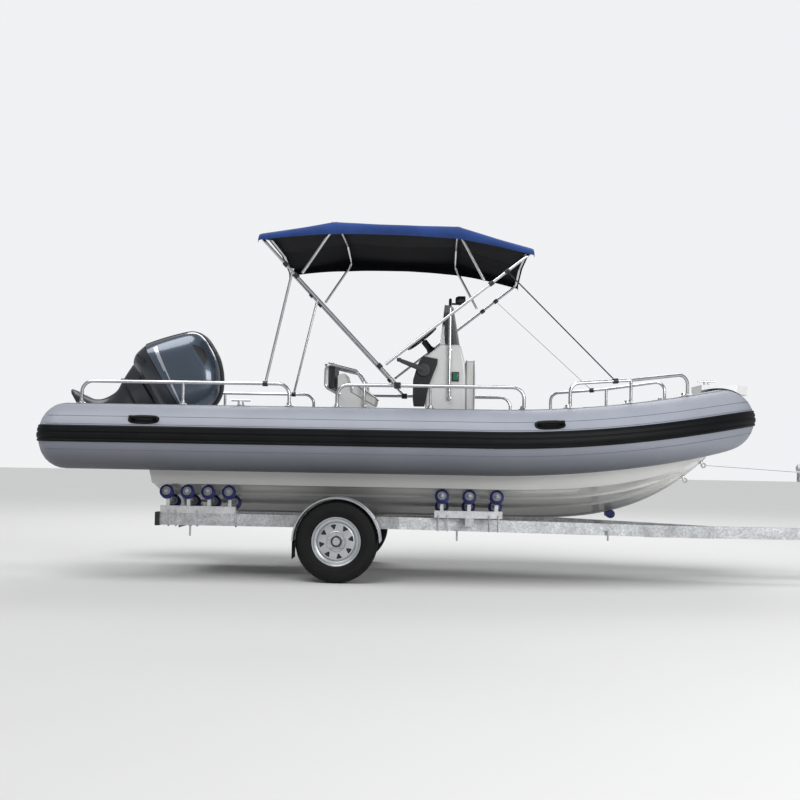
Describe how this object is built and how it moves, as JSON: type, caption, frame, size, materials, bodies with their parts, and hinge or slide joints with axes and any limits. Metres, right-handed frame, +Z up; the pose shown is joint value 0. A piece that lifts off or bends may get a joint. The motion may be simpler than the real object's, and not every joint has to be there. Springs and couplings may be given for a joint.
{
  "type": "rigid inflatable boat on a road trailer",
  "caption": "Rigid inflatable boat with console, fabric canopy, rails and tilting outboard, standing on a galvanised roller trailer with a jockey wheel.",
  "frame": {"origin": "centre of the bounding box at ground level, under the boat's middle", "axes": "+X from the outboard to the trailer's coupling (bow end), +Y to port, +Z up"},
  "size_m": [7.4078, 2.424, 2.9736],
  "materials": {
    "gelcoat": "gloss",
    "deck_grey": "matte",
    "tube_grey": "matte",
    "black_rubber": "matte",
    "black_plastic": "matte",
    "white_plastic": "satin",
    "stainless": "polished",
    "galvanised": "matte",
    "cast_grey": "matte",
    "smoked_glass": "gloss",
    "navy_fabric": "matte",
    "black_webbing": "matte",
    "navy_webbing": "matte",
    "seat_vinyl": "satin",
    "dark_vinyl": "satin",
    "cowl_paint": "gloss",
    "engine_dark": "satin",
    "engine_alloy": "satin",
    "powerhead_alloy": "satin",
    "propeller_steel": "satin",
    "tyre_rubber": "matte",
    "rim_silver": "satin",
    "mudguard_silver": "satin",
    "roller_blue": "satin",
    "light_lens": "gloss",
    "nav_lens": "gloss",
    "lamp_metal": "satin"
  },
  "bodies": {
    "boat_and_trailer": {"boat_hull": "gelcoat", "deck": "deck_grey", "transom": "gelcoat", "collar": "tube_grey", "rub_strake": "black_rubber", "tube_handles": "black_rubber", "bow_plate": "gelcoat", "mooring_cleats": "stainless", "bow_eyes": "stainless", "bow_locker": "gelcoat", "stern_rails": "stainless", "midship_rails": "stainless", "bow_rails": "stainless", "console": "gelcoat", "windscreen": "smoked_glass", "console_rail": "stainless", "searchlight": "lamp_metal", "nav_lights": "nav_lens", "helm_controls": "black_plastic", "console_seat": "seat_vinyl", "helm_seat": "white_plastic", "helm_seat_cushion": "seat_vinyl", "helm_seat_frame": "stainless", "helm_backrest": "dark_vinyl", "canopy_main_bows": "stainless", "canopy_secondary_bows": "stainless", "canopy_poles": "stainless", "canopy_fittings": "black_plastic", "canopy_sheet": "navy_fabric", "canopy_straps": "black_webbing", "engine_clamp": "engine_dark", "side_beams": "galvanised", "cross_members": "galvanised", "drawbar": "galvanised", "axle": "galvanised", "mudguards": "mudguard_silver", "mud_flaps": "black_rubber", "roller_cradles": "galvanised", "hull_rollers": "roller_blue", "keel_rollers": "roller_blue", "tail_lights": "light_lens", "winch_post": "galvanised", "winch": "galvanised", "winch_strap": "navy_webbing", "coupling": "cast_grey"},
    "tilting_bracket": {"engine_swivel": "engine_dark"},
    "outboard": {"engine_cowl": "cowl_paint", "engine_powerhead": "powerhead_alloy", "engine_midsection": "engine_alloy", "engine_gearcase": "engine_alloy"},
    "propeller": {"propeller": "propeller_steel"},
    "steering_wheel": {"steering_wheel": "black_plastic"},
    "bow_locker_lid": {"bow_locker_lid": "gelcoat"},
    "road_wheel_starboard": {"tyre_starboard": "tyre_rubber", "rim_starboard": "rim_silver"},
    "road_wheel_port": {"tyre_port": "tyre_rubber", "rim_port": "rim_silver"},
    "jockey_leg": {"jockey_leg": "galvanised"},
    "jockey_fork": {"jockey_fork": "galvanised"},
    "jockey_wheel": {"jockey_wheel": "black_rubber"}
  },
  "joints": [
    {"name": "engine_tilt", "type": "hinge", "parent": "boat_and_trailer", "child": "tilting_bracket", "pos_m": [-2.59615, 0, 1.078], "axis": [0, 1, 0], "range_deg": [-62, 5]},
    {"name": "engine_steer", "type": "hinge", "parent": "tilting_bracket", "child": "outboard", "pos_m": [-2.68093, 0, 1.21369], "axis": [0.848, 0, 0.5299], "range_deg": [-30, 30]},
    {"name": "propeller_spin", "type": "hinge", "parent": "outboard", "child": "propeller", "pos_m": [-3.53953, 0, 1.26677], "axis": [0.5299, 0, -0.848], "continuous": true},
    {"name": "helm_spin", "type": "hinge", "parent": "boat_and_trailer", "child": "steering_wheel", "pos_m": [-0.39217, 0, 2.05563], "axis": [-0.6266, 0, 0.7793], "range_deg": [-540, 540]},
    {"name": "bow_locker_lid_hinge", "type": "hinge", "parent": "boat_and_trailer", "child": "bow_locker_lid", "pos_m": [1.70385, 0, 1.344], "axis": [0, 1, 0], "range_deg": [0, 95]},
    {"name": "wheel_starboard_spin", "type": "hinge", "parent": "boat_and_trailer", "child": "road_wheel_starboard", "pos_m": [-1.03115, -0.91, 0.33], "axis": [0, 1, 0], "continuous": true},
    {"name": "wheel_port_spin", "type": "hinge", "parent": "boat_and_trailer", "child": "road_wheel_port", "pos_m": [-1.03115, 0.91, 0.33], "axis": [0, 1, 0], "continuous": true},
    {"name": "jockey_slide", "type": "slide", "parent": "boat_and_trailer", "child": "jockey_leg", "axis": [0, 0, 1], "range_m": [-0.08, 0.105]},
    {"name": "jockey_swivel", "type": "hinge", "parent": "jockey_leg", "child": "jockey_fork", "pos_m": [3.30385, 0.115, 0.25], "axis": [0, 0, 1], "continuous": true},
    {"name": "jockey_wheel_spin", "type": "hinge", "parent": "jockey_fork", "child": "jockey_wheel", "pos_m": [3.26385, 0.115, 0.1], "axis": [0, 1, 0], "continuous": true}
  ],
  "couplings": [
    {"joint": "helm_spin", "follows": "engine_steer", "ratio": 18}
  ]
}
